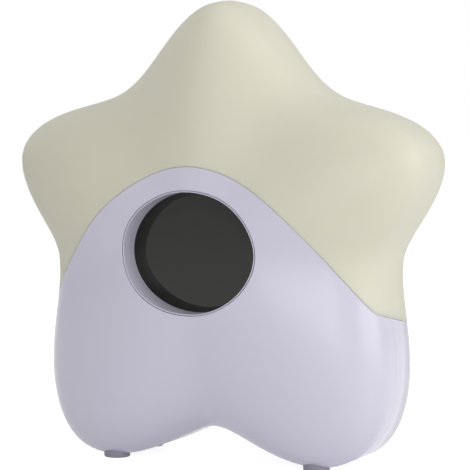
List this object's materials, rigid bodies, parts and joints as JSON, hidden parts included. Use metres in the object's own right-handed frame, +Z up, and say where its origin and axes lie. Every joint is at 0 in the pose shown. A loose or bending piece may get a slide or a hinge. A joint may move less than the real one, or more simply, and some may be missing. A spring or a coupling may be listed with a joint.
{
  "type": "star night light projector",
  "caption": "Star-shaped night light: cream diffuser over a lavender foot housing with a smoked oval projector window in front and buttons and a battery door behind.",
  "frame": {"origin": "middle of the footprint on the surface that the lamp stands on", "axes": "-Y is the front with the window, +X is the lamp's left-hand side seen from behind the window, that is the viewer's right, and +Z is up"},
  "size_m": [0.1522, 0.0752, 0.1637],
  "materials": {
    "lavender_shell": "glossy moulded plastic in pale lavender",
    "cream_diffuser": "translucent cream plastic with a fine satin surface",
    "smoked_pane": "polished smoked acrylic, nearly black",
    "charcoal_plastic": "fine grained black plastic",
    "clear_lens": "clear polished lens",
    "film_blue": "dark blue film with small clear dots",
    "board_green": "green circuit board",
    "board_white": "white circuit board",
    "led_lens": "clear yellowish light",
    "white_plastic": "white moulded plastic",
    "black_parts": "black component bodies",
    "button_plastic": "glossy plastic a shade lighter than the housing",
    "spring_steel": "nickel plated spring steel",
    "screw_steel": "zinc plated steel",
    "cell_wrap": "plain grey cell sleeve",
    "foot_pad": "soft lavender grey pad",
    "red_wire": "red insulated wire",
    "yellow_wire": "yellow insulated wire",
    "white_wire": "white insulated wire"
  },
  "bodies": {
    "lamp": {"front_housing": "lavender_shell", "rear_housing": "lavender_shell", "night_light_diffuser": "cream_diffuser", "window_pane": "smoked_pane", "lens_tube": "charcoal_plastic", "projection_lens": "clear_lens", "star_film": "film_blue", "film_ring": "charcoal_plastic", "projector_board": "board_green", "projector_led": "led_lens", "light_baffle": "white_plastic", "night_light_board": "board_white", "night_light_leds": "led_lens", "main_board": "board_green", "main_board_parts": "black_parts", "switch_board": "board_green", "button_switches": "black_parts", "battery_box": "charcoal_plastic", "battery_1": "cell_wrap", "battery_2": "cell_wrap", "battery_3": "cell_wrap", "battery_springs": "spring_steel", "battery_plates": "spring_steel", "housing_screws": "screw_steel", "lens_tube_screws": "screw_steel", "board_screws": "screw_steel", "front_left_foot": "foot_pad", "front_right_foot": "foot_pad", "rear_left_foot": "foot_pad", "rear_right_foot": "foot_pad", "battery_wires": "red_wire", "projector_wires": "yellow_wire", "night_light_wires": "white_wire"},
    "projector_button": {"projector_button": "button_plastic", "projector_plunger": "white_plastic"},
    "night_light_button": {"night_light_button": "button_plastic", "night_light_plunger": "white_plastic"},
    "battery_door": {"battery_door": "lavender_shell"},
    "door_screw": {"door_screw": "screw_steel"}
  },
  "joints": [
    {"name": "projector_button_press", "type": "slide", "parent": "lamp", "child": "projector_button", "axis": [0, -1, 0], "range_m": [0, 0.0008], "stiffness_N_per_m": 600},
    {"name": "night_light_button_press", "type": "slide", "parent": "lamp", "child": "night_light_button", "axis": [0, -1, 0], "range_m": [0, 0.0008], "stiffness_N_per_m": 600},
    {"name": "battery_door_lift", "type": "slide", "parent": "lamp", "child": "battery_door", "axis": [0, 1, 0], "range_m": [0, 0.03]},
    {"name": "door_screw_turn", "type": "hinge", "parent": "battery_door", "child": "door_screw", "pos_m": [0, 0.036, 0.0699], "axis": [0, 1, 0], "continuous": true}
  ]
}
